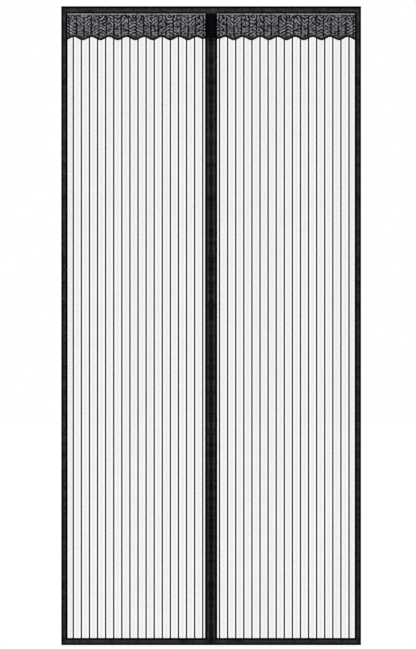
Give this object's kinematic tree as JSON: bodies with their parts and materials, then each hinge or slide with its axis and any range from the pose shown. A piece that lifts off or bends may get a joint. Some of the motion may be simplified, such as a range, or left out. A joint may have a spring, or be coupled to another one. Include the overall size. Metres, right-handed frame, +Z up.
{
  "type": "magnetic insect screen",
  "caption": "Hanging insect screen for a doorway: two striped black net panels with bound edges, a lace valance, a centre slit closed by magnets and hook and loop tape behind.",
  "frame": {"origin": "middle of the adhesive back face of the top hook tape, on the plane of the door frame", "axes": "+Z up along the height, -Y towards the viewer in front of the screen, +Y into the door frame, +X to the viewer's right"},
  "size_m": [0.99, 0.0075, 2.11],
  "materials": {
    "net_yarn": "fine black polyester net with thick woven stripes",
    "binding_tape": "black woven tape folded over the edges, stitched along its mouth",
    "valance_lace": "grey knitted lace with dark leaf and chevron strokes",
    "edging_yarn": "black overlock stitching round the wavy edge",
    "patch_fabric": "plain near-black woven fabric",
    "loop_tape": "black brushed loop pile",
    "hook_tape": "black hook tape with an adhesive back",
    "magnet_ferrite": "dull dark grey sintered bar",
    "weight_steel": "plain flat steel strip"
  },
  "bodies": {
    "root": {"header_band": "binding_tape", "left_net": "net_yarn", "left_side_band": "binding_tape", "left_centre_band": "binding_tape", "left_hem": "binding_tape", "left_valance": "valance_lace", "left_valance_edging": "edging_yarn", "left_hem_weight": "weight_steel", "right_net": "net_yarn", "right_side_band": "binding_tape", "right_centre_band": "binding_tape", "right_hem": "binding_tape", "right_valance": "valance_lace", "right_valance_edging": "edging_yarn", "right_hem_weight": "weight_steel", "top_joining_patch": "patch_fabric", "loop_tape_top": "loop_tape", "loop_tape_left": "loop_tape", "loop_tape_right": "loop_tape", "hook_tape_top": "hook_tape", "hook_tape_left": "hook_tape", "hook_tape_right": "hook_tape", "left_magnet_01": "magnet_ferrite", "left_magnet_02": "magnet_ferrite", "left_magnet_03": "magnet_ferrite", "left_magnet_04": "magnet_ferrite", "left_magnet_05": "magnet_ferrite", "left_magnet_06": "magnet_ferrite", "left_magnet_07": "magnet_ferrite", "left_magnet_08": "magnet_ferrite", "left_magnet_09": "magnet_ferrite", "left_magnet_10": "magnet_ferrite", "left_magnet_11": "magnet_ferrite", "left_magnet_12": "magnet_ferrite", "left_magnet_13": "magnet_ferrite", "right_magnet_01": "magnet_ferrite", "right_magnet_02": "magnet_ferrite", "right_magnet_03": "magnet_ferrite", "right_magnet_04": "magnet_ferrite", "right_magnet_05": "magnet_ferrite", "right_magnet_06": "magnet_ferrite", "right_magnet_07": "magnet_ferrite", "right_magnet_08": "magnet_ferrite", "right_magnet_09": "magnet_ferrite", "right_magnet_10": "magnet_ferrite", "right_magnet_11": "magnet_ferrite", "right_magnet_12": "magnet_ferrite", "right_magnet_13": "magnet_ferrite"}
  },
  "joints": []
}
